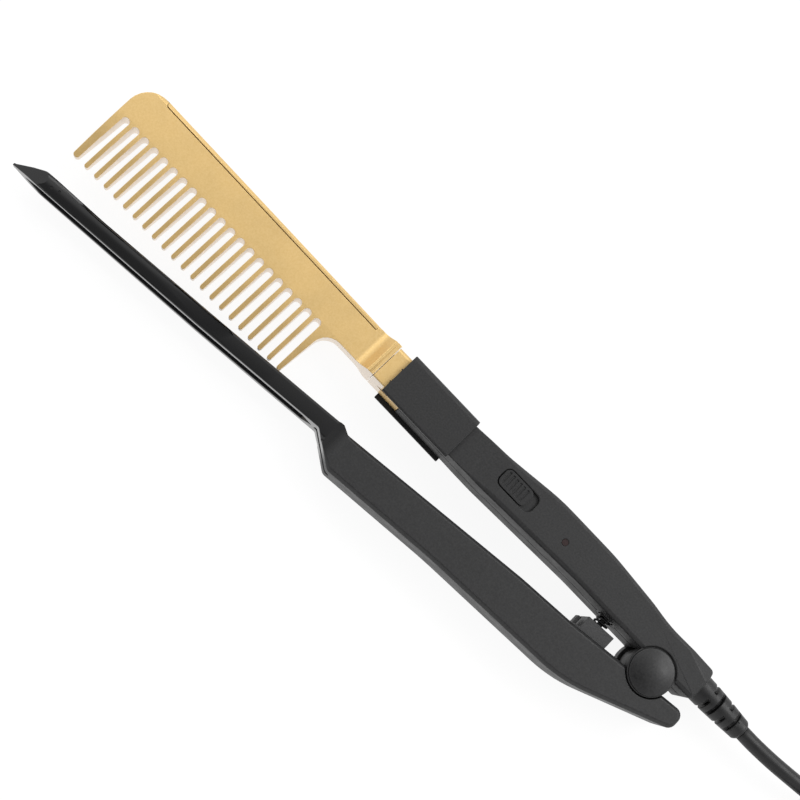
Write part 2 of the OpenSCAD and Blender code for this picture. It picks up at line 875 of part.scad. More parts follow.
// Moulded bend relief: a flange in the shells and a ribbed, slotted tail outside
module strain_relief() {
    tail = [[-17.5, 5.7], [-24.4, 5.5], [-32.5, 5.0], [-38, 4.5], [-40.8, 4.3], [relief_end, 3.5]];
    side_slots = [-24.5, -32.9];
    face_slots = [-28.2, -37];
    slot = 1.4;
    bridge = 1.6;
    reach = 8;
    color(black) difference() {
        union() {
            translate([0, relief_y, 0]) rotate([0, 90, 0]) rotate_extrude()
                polygon(concat([[0, -17.5]], [for (p = tail) [p.y, p.x]], [[0, relief_end]]));
            rod_x(-17.5, -15.2, relief_y, 0, 4.4);
            block(-15.2, -12.8, -14.9, -6.6, -6.2, 6.2);
        }
        // pairs of slots from the sides and through the faces, in turn
        difference() {
            union() {
                for (x = side_slots) {
                    block(x, x + slot, relief_y + bridge, relief_y + reach, -reach, reach);
                    block(x, x + slot, relief_y - reach, relief_y - bridge, -reach, reach);
                }
                for (x = face_slots) both_faces()
                    block(x, x + slot, relief_y - reach, relief_y + reach, bridge, reach);
            }
            rod_x(relief_end, -20, relief_y, 0, relief_sleeve);
        }
    }
}

// Route of the free cord on the table, in the finished frame
lead_route = [
    [relief_end + to_table.x, relief_y + to_table.y, half_handle], [-182.5, -20.4, 10.5],
    [-192, -21, 10.2], [-202, -22.2, 9.4], [-212, -23.6, 8], [-222, -24.8, 6.2],
    [-232, -25.5, 4.5], [-242, -25.8, 3.4], [-248, -25.8, 3.2]
];

// The folded cord: long loops in two layers that wind in and out again at a steady rate.
// They are drawn in at the waist, and change layer along the run where the spiral turns back.
hank_centre = [-289, 8];
hank_floor = 3.2;
layer_rise = 6.5;
loop_step = 6.8;
inner_fold = 15.95;
waist = 6;
tie_lift = 0.8;          // the waist rides over the tie
loop_rings = 24;
ring_quarter = loop_rings / 4;
total_loops = 5.25;
turn_back = total_loops / 2;
hank_radius = 2.95;

function smooth(s) = s <= 0 ? 0 : s >= 1 ? 1 : s * s * (3 - 2 * s);
// 1 in the middle of a run and 0 at its ends
function draw_in(s) = (1 - cos(360 * s)) / 2;
function hank_point(ring) =
    let (
        loops = ring / loop_rings,
        phase = ring % loop_rings,
        part = floor(phase / ring_quarter),
        s = phase / ring_quarter - part,
        fold = inner_fold + loop_step * abs(loops - turn_back),
        run = part % 2 == 0,
        side = part < 2 ? -1 : 1,
        tight = run ? draw_in(s) : 0,
        climb = smooth((loops - turn_back) * 4 + 0.5),
        x = run ? side * run_length * (s - 0.5) : side * (run_length / 2 + fold * sin(180 * s)),
        y = run ? side * (fold - waist * tight) : side * fold * cos(180 * s)
    )
    [hank_centre.x + x, hank_centre.y + y, hank_floor + layer_rise * climb + tie_lift * tight];
hank_route = [for (i = [0:total_loops * loop_rings]) hank_point(i)];

// Length of a line of points, and the least gap of the tube to itself beyond nearby rings
function line_length(route, i = 1) =
    i >= len(route) ? 0 : norm(route[i] - route[i - 1]) + line_length(route, i + 1);
between = [0, 0.25, 0.5, 0.75];
hank_samples = [for (i = [0:len(hank_route) - 2]) for (k = between)
    hank_route[i] * (1 - k) + hank_route[i + 1] * k];
apart = 8;               // samples this near along the cord don't count
hank_gap = min([for (i = [0:len(hank_samples) - 1]) for (j = [i + apart:1:len(hank_samples) - 1])
    norm(hank_samples[i] - hank_samples[j])]) - 2 * hank_radius;

tail_route = [
    [-330, -25.8, 9.7], [-336, -25.8, 9.7], [-344, -25.6, 9.6], [-352, -24.6, 9.3],
    [-360, -22.8, 8.8], [-368, -21.2, 8.3], [-376, -20.5, 8], [-382, -20.5, 8]
];
echo(cord_length = line_length(lead_route) + line_length(hank_route) + line_length(tail_route));
echo(hank_gap = hank_gap);

module cord_lead() {
    color(black) tube(lead_route, cord_radius, 8, [[-1, 0, 0], [-1, 0, 0]]);
}

module cord_hank() {
    color(black) tube(hank_route, hank_radius, 6, [[-1, 0, 0], [-1, 0, 0]]);
}

module cord_tail() {
    color(black) tube(tail_route, cord_radius, 8, [[-1, 0, 0], [-1, 0, 0]]);
}

// Strap round the waist of the hank
module hank_tie() {
    strap = 0.6;
    low = hank_centre.y - 30.5;
    high = hank_centre.y + 27.5;
    top = 14.4;
    function frame(d) = rounded([[low - d, 0.6 - d, 2], [high + d, 0.6 - d, 2],
                                 [high + d, top + d, 2], [low - d, top + d, 2]]);
    color(dark) difference() {
        along_x(frame(strap), hank_centre.x - 5, hank_centre.x + 5);
        along_x(frame(0), hank_centre.x - 6, hank_centre.x + 6);
    }
}

// Two-blade flat plug lying on its wide side
plug_start = -382;
plug_axis = [-20.5, 8];

module plug_body() {
    color(black) translate([plug_start, plug_axis.x, plug_axis.y]) rotate([0, 0, 180]) {
        difference() {
            rotate([0, 90, 0]) cylinder(h = 18, r1 = 4, r2 = 5.4);
            for (x = [4, 11]) both_faces() block(x, x + 1.2, -8, 8, 2.8, 8);
            for (x = [7.5, 14.5]) for (s = [0, 1]) mirror([0, s, 0])
                block(x, x + 1.2, 2.8, 8, -8, 8);
        }
        intersection() {
            chamfered(rounded([[16, -6, 0], [26, -11, 6], [46, -13, 4], [46, 13, 4], [26, 11, 6],
                               [16, 6, 0]]), 8, 1.6);
            block(16, 46, -20, 20, -8, 8);
        }
    }
}

module plug_blades() {
    blade_half_gap = 6.35;
    color(steel) for (s = [-1, 1])
        translate([plug_start - 46, plug_axis.x + s * blade_half_gap, plug_axis.y])
            rotate([90, 0, 180]) translate([0, 0, -0.75]) linear_extrude(1.5)
                polygon(rounded([[0, -3.15, 0], [16.5, -3.15, 1.8], [16.5, 3.15, 1.8],
                                 [0, 3.15, 0]]));
}

// ------------------------------------------------------------------- nodes

translate(to_table) handle_front_shell();
translate(to_table) handle_back_shell();
translate(to_table) collar();
translate(to_table) shank_sleeve();
translate(to_table) comb_head();
translate(to_table) spine_cap();
translate(to_table) heater_plate();
translate(to_table) heater_insulation();
translate(to_table) thermal_fuse();
translate(to_table) circuit_board();
translate(to_table) switch_body();
translate(to_table) switch_button();
translate(to_table) indicator_led();
translate(to_table) indicator_window();
translate(to_table) mains_leads();
translate(to_table) heater_leads();
translate(to_table) handle_screws();
translate(to_table) hinge_pin();
translate(to_table) pivot_cap_front();
translate(to_table) pivot_cap_back();
translate(to_table) spring_cup();
translate(to_table) return_spring();
translate(to_table) arm_lever();
translate(to_table) arm_cover();
translate(to_table) arm_screws();
translate(to_table) spring_seat();
translate(to_table) grip_liner();
translate(to_table) strain_relief();
cord_lead();
cord_hank();
cord_tail();
hank_tie();
plug_body();
plug_blades();
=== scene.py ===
"""Looks of the electric hot comb: camera, light, cord, soft-edged mouldings and their finishes."""

import bmesh
import bpy
import json
import math
import numpy as np
from mathutils import Matrix, Vector

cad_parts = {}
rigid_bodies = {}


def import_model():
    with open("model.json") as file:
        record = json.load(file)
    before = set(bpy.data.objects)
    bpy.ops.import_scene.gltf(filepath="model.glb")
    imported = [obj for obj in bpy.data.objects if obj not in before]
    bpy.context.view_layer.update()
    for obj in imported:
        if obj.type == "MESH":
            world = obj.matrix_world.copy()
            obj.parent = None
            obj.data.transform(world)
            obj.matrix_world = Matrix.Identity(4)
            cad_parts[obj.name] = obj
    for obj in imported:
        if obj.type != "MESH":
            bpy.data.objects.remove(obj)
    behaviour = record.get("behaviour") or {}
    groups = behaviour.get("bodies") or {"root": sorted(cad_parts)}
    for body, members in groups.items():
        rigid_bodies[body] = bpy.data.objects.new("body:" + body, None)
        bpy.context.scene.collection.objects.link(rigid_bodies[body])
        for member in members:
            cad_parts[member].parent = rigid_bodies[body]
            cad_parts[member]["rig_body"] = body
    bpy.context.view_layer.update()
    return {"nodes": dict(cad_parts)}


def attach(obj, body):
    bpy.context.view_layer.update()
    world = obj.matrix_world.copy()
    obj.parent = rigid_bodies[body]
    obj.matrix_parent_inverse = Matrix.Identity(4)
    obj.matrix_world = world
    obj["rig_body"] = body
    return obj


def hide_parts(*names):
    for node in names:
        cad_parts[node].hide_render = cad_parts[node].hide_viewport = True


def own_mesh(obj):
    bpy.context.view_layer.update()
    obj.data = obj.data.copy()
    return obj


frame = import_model()
nodes = frame["nodes"]
scene = bpy.context.scene
MM = 0.001

# The hinge axis in the row frame; the design's own places are measured from it
HINGE = np.array([-133.95, -9.5, 10.5])


# ---------------------------------------------------------------- camera

CAMERA_AT = np.array([7.05, 90.5, 511.0])
CAMERA_LOOKS_AT = np.array([-1.436, -11.35, 21.0])
COMB_TURN = math.radians(46.4)  # the comb's axis in the picture, against its lower edge
FOCAL_SHARE = 1407.44 / 800  # focal length over the picture's width


def set_camera():
    """Places the camera and rolls it until +X runs up and to the left in the picture."""
    ahead = CAMERA_LOOKS_AT - CAMERA_AT
    ahead /= np.linalg.norm(ahead)
    x_axis = np.array([1.0, 0, 0])
    along = x_axis - ahead * (x_axis @ ahead)
    along /= np.linalg.norm(along)
    across = np.cross(ahead, along)
    c, s = math.cos(COMB_TURN), math.sin(COMB_TURN)
    right = -c * along + s * across
    down = -s * along - c * across
    data = bpy.data.cameras.new("camera")
    data.sensor_width = 36
    data.lens = 36 * FOCAL_SHARE
    data.clip_start, data.clip_end = 0.01, 20
    camera = bpy.data.objects.new("camera", data)
    scene.collection.objects.link(camera)
    turn = Matrix([list(row) for row in np.stack([right, -down, -ahead], 1)])
    camera.matrix_world = Matrix.Translation(Vector(CAMERA_AT * MM)) @ turn.to_4x4()
    scene.camera = camera


# ---------------------------------------------------------------- meshes

def grid_faces(rows, cols):
    """Quads of a grid of rows by cols points whose last column joins the first."""
    r = np.arange(rows - 1)[:, None]
    c = np.arange(cols)[None, :]
    n = (c + 1) % cols
    quads = np.stack([r * cols + c, r * cols + n, (r + 1) * cols + n, (r + 1) * cols + c], -1)
    return quads.reshape(-1, 4)


def mesh_piece(name, points, faces, body, material):
    """A smooth mesh from arrays, in metres in the row frame, that rides on a body."""
    me = bpy.data.meshes.new(name)
    me.from_pydata(np.asarray(points).reshape(-1, 3).tolist(), [], [list(f) for f in faces])
    me.validate()
    me.polygons.foreach_set("use_smooth", [True] * len(me.polygons))
    piece = bpy.data.objects.new(name, me)
    scene.collection.objects.link(piece)
    me.materials.append(material)
    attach(piece, body)
    return piece


def set_uv(piece, u, v):
    """Writes a UV map from one u and one v per vertex."""
    me = piece.data
    layer = me.uv_layers.new(name="along")
    index = np.zeros(len(me.loops), np.int64)
    me.loops.foreach_get("vertex_index", index)
    layer.data.foreach_set("uv", np.stack([u[index], v[index]], 1).ravel())


def smooth_line(points, per_span):
    """A Catmull-Rom curve: between two points it is the cubic whose slope at each is half the
    step between that point's neighbours."""
    p = np.asarray(points, float)
    p = np.vstack([2 * p[0] - p[1], p, 2 * p[-1] - p[-2]])
    a, b, c, d = p[:-3, None], p[1:-2, None], p[2:-1, None], p[3:, None]
    t = (np.arange(per_span) / per_span)[None, :, None]
    curve = 0.5 * (2 * b + (c - a) * t + (2 * a - 5 * b + 4 * c - d) * t**2
                   + (3 * b - a - 3 * c + d) * t**3)
    return np.vstack([curve.reshape(-1, 3), p[-2]])


def tube_points(line, radius, sides):
    """Rings of a tube: each point of the line plus radius times cos and sin along two axes
    square to its way, one of them level."""
    line = np.asarray(line, float)
    way = np.gradient(line, axis=0)
    way /= np.linalg.norm(way, axis=1, keepdims=True)
    side = np.cross(way, [0, 0, 1.0])
    side /= np.linalg.norm(side, axis=1, keepdims=True)
    up = np.cross(side, way)
    angle = 2 * np.pi * np.arange(sides) / sides
    r = np.broadcast_to(np.asarray(radius, float).reshape(-1, 1, 1), (len(line), sides, 1))
    return line[:, None] + r * (np.cos(angle)[None, :, None] * side[:, None]
                                + np.sin(angle)[None, :, None] * up[:, None])


def capped(rings):
    """Points and faces of rings joined into one closed skin with a flat end at each side."""
    rows, cols = rings.shape[:2]
    faces = [tuple(f) for f in grid_faces(rows, cols)]
    faces.append(tuple(range(cols))[::-1])
    faces.append(tuple((rows - 1) * cols + k for k in range(cols)))
    return rings.reshape(-1, 3), faces


def turned(name, profile, centre, sides, body, material):
    """A solid turned about Z: each point (r, z) of the profile goes round the centre, at
    centre + (r cos a, r sin a, z), and the two ends of the profile lie on the axis."""
    p = np.asarray(profile, float)
    a = 2 * np.pi * np.arange(sides) / sides
    inner = p[1:-1]
    rings = np.stack([inner[:, :1] * np.cos(a), inner[:, :1] * np.sin(a),
                      np.broadcast_to(inner[:, 1:], (len(inner), sides))], -1)
    points = np.vstack([rings.reshape(-1, 3), [[0, 0, p[0, 1]], [0, 0, p[-1, 1]]]])
    n = len(inner) * sides
    k = np.arange(sides)
    nxt = (k + 1) % sides
    last = n - sides
    faces = [tuple(f) for f in grid_faces(len(inner), sides)]
    faces += list(zip(nxt.tolist(), k.tolist(), [n] * sides))
    faces += list(zip((last + k).tolist(), (last + nxt).tolist(), [n + 1] * sides))
    return mesh_piece(name, (points + centre) * MM, faces, body, material)


# ------------------------------------------------------------ soft edges
# Places and sizes are in mm in the row frame, and angles in degrees

SHARP_ANGLE = 24  # turn between two faces from which their edge is rounded
FLAT_ANGLE = 0.6  # turn up to which two faces are one
SPECK = 0.01  # length up to which an edge is dropped
EDGE_STEPS = 3  # faces across a rounding

# Room that the rounding needs at a corner, in widths of the rounding: between two corners, in an
# edge that is cut next to one, and in the part that stays sharp
CORNER_ROOM, LONG_EDGE, STUB = 2.6, 5, 2

# Small corners and dimples (x, y, reach) whose edges stay sharp
SHARP_SPOTS = {"arm_lever": [(5.95, 9.0, 1.3), (2.25, 10.7, 0.7), (136.95, 25.9, 1.0),
                             (134.05, 24.9, 1.0)]}

# The bar's edge on the comb's side (x, y), which is well rounded between two places along x
BAR_EDGE = np.array([(4.65, 8.7), (66.05, 15.75), (116.05, 20.85), (142.55, 22.85)])
BAR_START, BAR_END = 7, 140
BAR_LEVEL = 5.5  # least height of these edges over or under the hinge's middle
BAR_NEAR = 0.5  # how near to the line they lie
BAR_ROUND = 1.1

TIP_START = {"arm_lever": 139.5}  # x past which the tip's slight folds stay crisp
TIP_ANGLE = 9  # turn from which they do

# The switch's pocket: its middle along x, how far from there its edges lie, and its least height
POCKET_X, POCKET_REACH, POCKET_Z = -58, 14, 17

COLLAR_END = 6.0  # x up to which the sleeve's side keeps its plain gilt, with no painted pale reflection, in the collar's open side
BEHIND_SEAM = -0.0235  # y in metres of the seam along the spine, past which all sides keep their plain gilt, with no painted pale reflection
PAINTED_REFLECTION_METAL = {"comb_head", "shank_sleeve"}  # metal whose cut sides get a painted pale reflection, paler than its faces
UPRIGHT = 0.3  # the most that a cut side faces up or down

# Places along x where faces are cut: round the bar's slot, so that no face runs round its end,
# and on the sleeve at the collar's mouth, where its painted pale reflection stops
FACE_CUTS = {"arm_lever": (12.0, 34.45, 58.0, 92.0, 126.0), "shank_sleeve": (COLLAR_END,)}


def on_bar_edge(edge):
    """True for the edges of the bar's two faces on the comb's side."""
    ends = np.array([v.co[:] for v in edge.verts]) / MM
    level = np.abs(ends[:, 2] - HINGE[2])
    across = ends[:, 1] - np.interp(ends[:, 0], *BAR_EDGE.T)
    return bool((level > BAR_LEVEL).all() and (np.abs(across) < BAR_NEAR).all()
                and (ends[:, 0] > BAR_START).all() and (ends[:, 0] < BAR_END).all())


def in_pocket(edge):
    """True for the hollow edges of the switch's pocket, which the button slides close to."""
    ends = np.array([v.co[:] for v in edge.verts]) / MM
    return bool(not edge.is_convex and (np.abs(ends[:, 0] - POCKET_X) < POCKET_REACH).all()
                and (ends[:, 2] > POCKET_Z).all())


def keep_clear(bm, sharp, width, spots):
    """Where corners of three or more sharp edges stand closer together than the rounding has room
    for, and in the given spots, long edges are cut and the parts at the corners stay sharp."""
    busy = [v for v in bm.verts if sum(e in sharp for e in v.link_edges) > 2]
    places = np.array([v.co[:] for v in busy]).reshape(-1, 3)
    apart = np.linalg.norm(places[:, None] - places[None], axis=2) + np.eye(len(busy))
    crowded = {v for v, near in zip(busy, apart.min(1, initial=1)) if near < CORNER_ROOM * width}
    for x, y, reach in spots:
        crowded |= {v for v in bm.verts
                    if math.hypot(v.co.x / MM - x, v.co.y / MM - y) < reach}
    for v in crowded:
        for edge in [e for e in v.link_edges if e in sharp]:
            sharp.discard(edge)
            length = edge.calc_length()
            if length > LONG_EDGE * width and edge.other_vert(v) not in crowded:
                part, cut = bmesh.utils.edge_split(edge, v, STUB * width / length)
                sharp.add(part if v not in part.verts else
                          next(e for e in cut.link_edges if e is not part))
    return sharp


def mark_edges(bm, node, width):
    """Writes each edge's share of the widest rounding, keeps the other folds crisp, and returns
    the widest rounding."""
    rounding = bm.edges.layers.float.new("bevel_weight_edge")
    sharp = {e for e in bm.edges
             if e.is_manifold and e.calc_face_angle(0) > math.radians(SHARP_ANGLE)}
    rounded = keep_clear(bm, sharp, width * MM, SHARP_SPOTS.get(node, []))
    if node == "handle_front_shell":
        rounded -= {e for e in rounded if in_pocket(e)}
    broad = {e for e in rounded if on_bar_edge(e)} if node == "arm_lever" else set()
    widest = BAR_ROUND if broad else width
    for e in bm.edges:
        e[rounding] = (1.0 if e in broad else width / widest) if e in rounded else 0.0
        at_tip = all(v.co.x / MM > TIP_START.get(node, math.inf) for v in e.verts)
        fold = TIP_ANGLE if at_tip else SHARP_ANGLE
        e.smooth = e in rounded or e.calc_face_angle(0) < math.radians(fold)
    return widest


def mark_painted_reflection(me, node):
    """Marks the upright faces on the teeth's side of the seam and, on the sleeve, out of the
    collar: the cut sides, which get a painted pale reflection."""
    facing, middle = np.zeros((2, len(me.polygons), 3))
    me.polygons.foreach_get("normal", facing.ravel())
    me.polygons.foreach_get("center", middle.ravel())
    cut = (np.abs(facing[:, 2]) < UPRIGHT) & (middle[:, 1] > BEHIND_SEAM)
    cut &= (middle[:, 0] > COLLAR_END * MM) | (node != "shank_sleeve")
    # Mask of the painted pale reflection: the upright cut sides, which stand for white
    # surroundings seen at a grazing angle
    me.attributes.new("painted_pale_reflection", "FLOAT", "FACE").data.foreach_set("value", cut.astype(float))


def soft_copy(node, material, width, weld):
    """The node's own mesh, welded, with its edges rounded by width, in place of the node."""
    source = nodes[node]
    me = source.data.copy()
    me.name = node + "_soft"
    bm = bmesh.new()
    bm.from_mesh(me)
    bmesh.ops.remove_doubles(bm, verts=bm.verts, dist=weld * MM)
    bmesh.ops.dissolve_degenerate(bm, edges=bm.edges, dist=SPECK * MM)
    bmesh.ops.dissolve_limit(bm, angle_limit=math.radians(FLAT_ANGLE), verts=bm.verts,
                             edges=bm.edges)
    for x in FACE_CUTS.get(node, ()):
        bmesh.ops.bisect_plane(bm, geom=bm.verts[:] + bm.edges[:] + bm.faces[:],
                               plane_co=(x * MM, 0, 0), plane_no=(1, 0, 0))
    widest = mark_edges(bm, node, width)
    for f in bm.faces:
        f.smooth = True
    bm.to_mesh(me)
    bm.free()
    for name in [a.name for a in me.attributes if a.name == "custom_normal"]:
        me.attributes.remove(me.attributes[name])
    me.materials.clear()
    me.materials.append(material)
    if node in PAINTED_REFLECTION_METAL:
        mark_painted_reflection(me, node)
    piece = bpy.data.objects.new(node + "_soft", me)
    scene.collection.objects.link(piece)
    bevel = piece.modifiers.new("edge", "BEVEL")
    bevel.limit_method = "WEIGHT"
    bevel.width = widest * MM
    bevel.segments = EDGE_STEPS
    bevel.use_clamp_overlap = False
    bevel.miter_outer = "MITER_ARC"
    shade = piece.modifiers.new("shade", "WEIGHTED_NORMAL")
    shade.weight = 80
    shade.keep_sharp = True
    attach(piece, source["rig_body"])
    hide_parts(node)
    return piece


# ---------------------------------------------------------------- cord

# In mm, in the row frame
CORD_RADIUS, CORD_SIDES = 3.0, 20
CORD_STEPS = 5  # rings from one point of the route to the next

# Points along the middle of the cord, before and after the hank
LEAD = [(-175.75, -20.4, 10.5), (-182.5, -20.4, 10.5), (-192, -21, 10.2), (-202, -22.2, 9.4),
        (-212, -23.6, 8), (-222, -24.8, 6.2), (-232, -25.5, 4.5), (-242, -25.8, 3.4)]
TAIL = [(-336, -25.8, 9.7), (-344, -25.6, 9.6), (-352, -24.6, 9.3), (-360, -22.8, 8.8),
        (-368, -21.2, 8.3), (-376, -20.5, 8), (-382, -20.5, 8)]

HANK_CENTRE = (-289.0, 8.0)
RUN = 82.0  # length of a straight run
INNER_FOLD, LOOP_STEP = 15.95, 6.8  # radius of the inner fold, and its growth from loop to loop
WAIST = 6.0  # how far the tie draws a run in
LOOPS, RINGS = 5.25, 24  # loops of the cord, and points in each
FLOOR_Z, LAYER_RISE = 3.2, 6.5  # height of the lower layer, and of the upper one over it
TIE_LIFT = 0.8  # rise of a run under the tie


def hank_route():
    """The folded cord: two straight runs joined by half circles whose radius shrinks by one step
    a loop and grows again, drawn in at the waist, one layer higher on the way back."""
    ring = np.arange(int(LOOPS * RINGS) + 1)
    loops = ring / RINGS
    quarter = RINGS / 4
    phase = ring % RINGS
    part = np.floor(phase / quarter)
    s = phase / quarter - part
    fold = INNER_FOLD + LOOP_STEP * np.abs(loops - LOOPS / 2)
    run = part % 2 == 0
    side = np.where(part < 2, -1.0, 1.0)
    tight = np.where(run, (1 - np.cos(2 * np.pi * s)) / 2, 0)
    u = np.clip((loops - LOOPS / 2) * 4 + 0.5, 0, 1)
    climb = u * u * (3 - 2 * u)
    x = np.where(run, side * RUN * (s - 0.5), side * (RUN / 2 + fold * np.sin(np.pi * s)))
    y = np.where(run, side * (fold - WAIST * tight), side * fold * np.cos(np.pi * s))
    z = FLOOR_Z + LAYER_RISE * climb + TIE_LIFT * tight
    return np.stack([HANK_CENTRE[0] + x, HANK_CENTRE[1] + y, z], 1)


def make_cord(material):
    """The mains cord: one round tube along the lead, the hank and the tail."""
    route = np.vstack([LEAD, hank_route(), TAIL])
    line = smooth_line(route, CORD_STEPS)
    points, faces = capped(tube_points(line, CORD_RADIUS, CORD_SIDES) * MM)
    cord = mesh_piece("mains_cord", points, faces, "body", material)
    step = np.r_[0, np.cumsum(np.linalg.norm(np.diff(line, axis=0), axis=1))] * MM
    round_it = np.arange(CORD_SIDES) / CORD_SIDES
    set_uv(cord, np.repeat(step, CORD_SIDES), np.tile(round_it, len(line)))
    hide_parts("cord_lead", "cord_hank", "cord_tail")


# ----------------------------------------------------------------- hinge

# In mm, the cap's heights measured from the hinge's middle
CAP_RADIUS, CAP_FOOT, CAP_RIM, CAP_RISE, CAP_EDGE, CAP_SIDES = 8.6, 9.62, 10.55, 1.25, 0.5, 96


def make_hinge_cap(material):
    """The domed cap: a straight wall, a quarter round of radius CAP_EDGE and a crown that falls
    with the square of the distance from its middle."""
    bend = np.linspace(0, np.pi / 2, 7)
    dome = CAP_RADIUS - CAP_EDGE
    out = np.linspace(1, 0, 28)
    low = np.array([[0, CAP_FOOT], [CAP_RADIUS, CAP_FOOT]])
    corner = np.stack([dome + CAP_EDGE * np.cos(bend),
                       CAP_RIM - CAP_EDGE + CAP_EDGE * np.sin(bend)], 1)
    crown = np.stack([dome * out[1:], CAP_RIM + CAP_RISE * (1 - out[1:] ** 2)], 1)
    cap = turned("hinge_cap", np.vstack([low, corner, crown]), HINGE, CAP_SIDES, "body",
                 material)
    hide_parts("pivot_cap_front")


SPRING_X, SPRING_FLOOR, SPRING_HEAD = 23.0, -7.45, 0.375  # measured from the hinge's middle
COIL, SPRING_WIRE = 2.6, 0.4  # radii
DEAD_PITCH, OPEN_TURNS = 1.4, 3.5
WIRE_SIDES, WIRE_RINGS = 12, 32  # sides of the wire, and rings in a turn


def make_spring(material):
    """The return spring: a helix about Y whose pitch is DEAD_PITCH in the first and last turn
    and larger between, as a round tube of wire."""
    turns = np.linspace(0, 2 + OPEN_TURNS, int((2 + OPEN_TURNS) * WIRE_RINGS) + 1)
    reach = SPRING_HEAD - SPRING_FLOOR
    pitch = (reach - 2 * DEAD_PITCH) / OPEN_TURNS
    height = np.interp(turns, [0, 1, 1 + OPEN_TURNS, 2 + OPEN_TURNS],
                       [0, DEAD_PITCH, DEAD_PITCH + pitch * OPEN_TURNS, reach])
    angle = 2 * np.pi * turns
    line = np.stack([COIL * np.cos(angle), COIL * np.sin(angle), height], 1)
    rings = tube_points(line, SPRING_WIRE, WIRE_SIDES)
    rings = np.stack([rings[..., 0], rings[..., 2], -rings[..., 1]], -1)
    points, faces = capped(rings + np.array([SPRING_X, SPRING_FLOOR, 0]) + HINGE)
    spring = mesh_piece("return_spring_coils", points * MM, faces, "body", material)
    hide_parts("return_spring")
    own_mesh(spring)


# ------------------------------------------------------------- finishes

def shader(name, color, rough, metallic=0.0, specular=0.5, coat=0.0, coat_rough=0.1):
    """A material with its plain values on the shader's own sockets; returns it with its nodes."""
    m = bpy.data.materials.new(name)
    m.use_nodes = True
    nt = m.node_tree
    b = nt.nodes["Principled BSDF"]
    b.inputs["Base Color"].default_value = (*color, 1)
    b.inputs["Roughness"].default_value = rough
    b.inputs["Metallic"].default_value = metallic
    b.inputs["Specular IOR Level"].default_value = specular
    b.inputs["Coat Weight"].default_value = coat
    b.inputs["Coat Roughness"].default_value = coat_rough
    return m, nt, b


def place(nt):
    """Object coordinates, which are the row frame's own, in metres."""
    return nt.nodes.new("ShaderNodeTexCoord").outputs["Object"]


def noise(nt, vector, scale, detail=3, rough=0.5):
    """Even noise from 0 to 1, with scale cells to the metre."""
    n = nt.nodes.new("ShaderNodeTexNoise")
    n.inputs["Scale"].default_value = scale
    n.inputs["Detail"].default_value = detail
    n.inputs["Roughness"].default_value = rough
    nt.links.new(vector, n.inputs["Vector"])
    return n.outputs["Fac"]


def spread(nt, value, low, high, from_low=0.3, from_high=0.7):
    """Maps a noise value onto a range."""
    r = nt.nodes.new("ShaderNodeMapRange")
    r.inputs["From Min"].default_value = from_low
    r.inputs["From Max"].default_value = from_high
    r.inputs["To Min"].default_value = low
    r.inputs["To Max"].default_value = high
    nt.links.new(value, r.inputs["Value"])
    return r.outputs["Result"]


def between(nt, value, a, b):
    """A colour between a and b."""
    r = nt.nodes.new("ShaderNodeValToRGB")
    r.color_ramp.elements[0].color = (*a, 1)
    r.color_ramp.elements[1].color = (*b, 1)
    r.color_ramp.elements[0].position = 0.3
    r.color_ramp.elements[1].position = 0.7
    nt.links.new(value, r.inputs["Fac"])
    return r.outputs["Color"]


def bump(nt, b, height, depth):
    """Bump with its depth in millimetres."""
    n = nt.nodes.new("ShaderNodeBump")
    n.inputs["Strength"].default_value = 1.0
    n.inputs["Distance"].default_value = depth * MM
    nt.links.new(height, n.inputs["Height"])
    nt.links.new(n.outputs["Normal"], b.inputs["Normal"])


def moulded(name, dark, light, rough, grain=0.7, depth=0.02, specular=0.45):
    """Moulded plastic: a spark-eroded grain that shows as fine specks, and an uneven sheen."""
    m, nt, b = shader(name, dark, rough, specular=specular)
    at = place(nt)
    fine = noise(nt, at, 1000 / grain, 2, 0.6)
    nt.links.new(between(nt, fine, dark, light), b.inputs["Base Color"])
    nt.links.new(spread(nt, noise(nt, at, 180, 3), rough - 0.05, rough + 0.06),
                 b.inputs["Roughness"])
    bump(nt, b, fine, depth)
    return m


BAR_FROM, BAR_TO = 0.0015, 0.005  # the arm turns from matt to glossy between these x, in metres
BAR_BLACK = (0.006, 0.006, 0.0065)


def arm_moulding(name, dark, light, rough, polish):
    """The arm's plastic: grained on the grip, darker and polished on the bar."""
    m, nt, b = shader(name, dark, rough, specular=0.5)
    at = place(nt)
    split = nt.nodes.new("ShaderNodeSeparateXYZ")
    nt.links.new(at, split.inputs[0])
    bar = spread(nt, split.outputs["X"], 0, 1, BAR_FROM, BAR_TO)
    fine = noise(nt, at, 1400, 2, 0.6)
    grip = between(nt, fine, dark, light)
    both = nt.nodes.new("ShaderNodeMix")
    both.data_type = "RGBA"
    both.inputs["B"].default_value = (*BAR_BLACK, 1)
    nt.links.new(bar, both.inputs["Factor"])
    nt.links.new(grip, both.inputs["A"])
    nt.links.new(both.outputs["Result"], b.inputs["Base Color"])
    sheen = nt.nodes.new("ShaderNodeMix")
    sheen.inputs["B"].default_value = polish
    nt.links.new(bar, sheen.inputs["Factor"])
    nt.links.new(spread(nt, noise(nt, at, 180, 3), rough - 0.05, rough + 0.06),
                 sheen.inputs["A"])
    nt.links.new(sheen.outputs["Result"], b.inputs["Roughness"])
    height = nt.nodes.new("ShaderNodeMath")
    height.operation = "MULTIPLY"
    nt.links.new(fine, height.inputs[0])
    nt.links.new(spread(nt, bar, 1, 0.15, 0, 1), height.inputs[1])
    bump(nt, b, height.outputs[0], 0.02)
    return m


